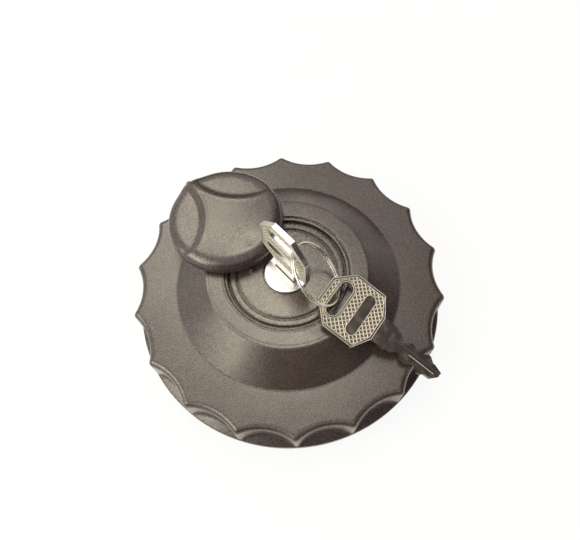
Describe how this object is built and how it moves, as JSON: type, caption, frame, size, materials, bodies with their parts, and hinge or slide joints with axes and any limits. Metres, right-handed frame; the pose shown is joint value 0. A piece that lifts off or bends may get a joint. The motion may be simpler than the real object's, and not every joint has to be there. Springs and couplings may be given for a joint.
{
  "type": "fuel filler cap",
  "caption": "Lockable bayonet fuel filler cap with a scalloped grip, a swing-aside dust cover, a turning key lock with its bolt, and a spare key on a split ring.",
  "frame": {"origin": "On the axis of the cap, in the sealing plane where the gasket meets the rim of the filler neck, which is the upper end of the spigot's wall.", "axes": "+Z is the axis of the cap and points out of the tank, through the lock; +X and +Y lie in the sealing plane. The bolt slides along the direction 48.6 degrees from +X, and the two bayonet lugs lie square to it. With its lugs flat on a bench the cap is stored as in use."},
  "size_m": [0.1152, 0.1152, 0.0548],
  "materials": {
    "grip_plastic": "fine moulded grain, satin",
    "rosette_plastic": "satin moulded",
    "cover_plastic": "satin moulded",
    "body_plastic": "moulded",
    "spring_steel": "plain",
    "screw_steel": "zinc plated",
    "bolt_steel": "zinc plated",
    "plate_steel": "zinc plated, pressed",
    "barrel_zinc": "die cast",
    "plug_metal": "plated, fine turned",
    "wafer_brass": "blanked",
    "key_metal": "nickel plated",
    "ring_steel": "nickel plated",
    "seal_rubber": "moulded",
    "gasket_rubber": "moulded"
  },
  "bodies": {
    "cap_body": {"grip_cover": "grip_plastic", "lock_escutcheon": "rosette_plastic", "lock_barrel": "barrel_zinc", "bayonet_body": "body_plastic", "bayonet_plate": "plate_steel", "neck_gasket": "gasket_rubber", "clamp_screws": "screw_steel", "plate_screws": "screw_steel", "barrel_seal": "seal_rubber", "vent_valve": "seal_rubber"},
    "cover": {"dust_cover": "cover_plastic", "cover_spring_washer": "spring_steel", "cover_pivot_screw": "screw_steel"},
    "plug": {"lock_plug": "plug_metal", "lock_wafers": "wafer_brass", "wafer_springs": "spring_steel", "plug_circlip": "spring_steel", "lock_driver": "barrel_zinc"},
    "keys": {"key": "key_metal", "key_ring": "ring_steel", "spare_key": "key_metal"},
    "bolt": {"locking_bolt": "bolt_steel"}
  },
  "joints": [
    {"name": "cover_swing", "type": "hinge", "parent": "cap_body", "child": "cover", "pos_m": [-0.01125, 0.00992, 0.0215], "axis": [0, 0, 1], "range_deg": [-14, 45]},
    {"name": "lock_turn", "type": "hinge", "parent": "cap_body", "child": "plug", "pos_m": [0, 0, 0.01], "axis": [0, 0, -1], "range_deg": [0, 90]},
    {"name": "key_pull", "type": "slide", "parent": "plug", "child": "keys", "axis": [0, 0, 1], "range_m": [0, 0.022]},
    {"name": "bolt_slide", "type": "slide", "parent": "cap_body", "child": "bolt", "axis": [0.6613, 0.7501, 0], "range_m": [0, 0.00594]}
  ],
  "couplings": [
    {"joint": "bolt_slide", "follows": "lock_turn", "m_per_rad": 0.0037813}
  ]
}
